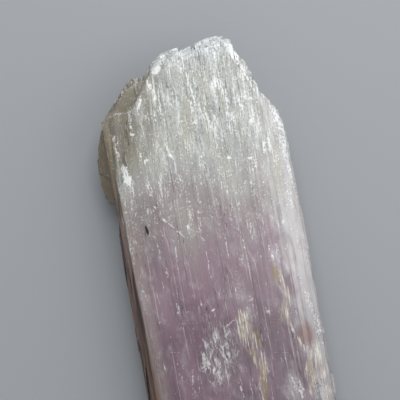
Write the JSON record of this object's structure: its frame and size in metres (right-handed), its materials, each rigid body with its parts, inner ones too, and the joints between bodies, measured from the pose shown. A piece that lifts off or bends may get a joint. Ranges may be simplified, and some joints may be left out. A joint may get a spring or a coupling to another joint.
{
  "type": "kunzite crystal",
  "caption": "Flattened, striated blade of pink-lilac kunzite with an etched chisel tip, a small side crystal and a splintery broken base, to display or handle as a mineral specimen.",
  "frame": {"origin": "middle of the base, on the surface that the crystal lies on", "axes": "+X across the blade, +Y along the prism towards the natural tip, +Z out of the broad front face"},
  "size_m": [0.0466, 0.1138, 0.0161],
  "materials": {
    "kunzite": "milky, translucent lilac with a silky, striated vitreous lustre"
  },
  "bodies": {
    "root": {"kunzite_crystal": "kunzite"}
  },
  "joints": []
}
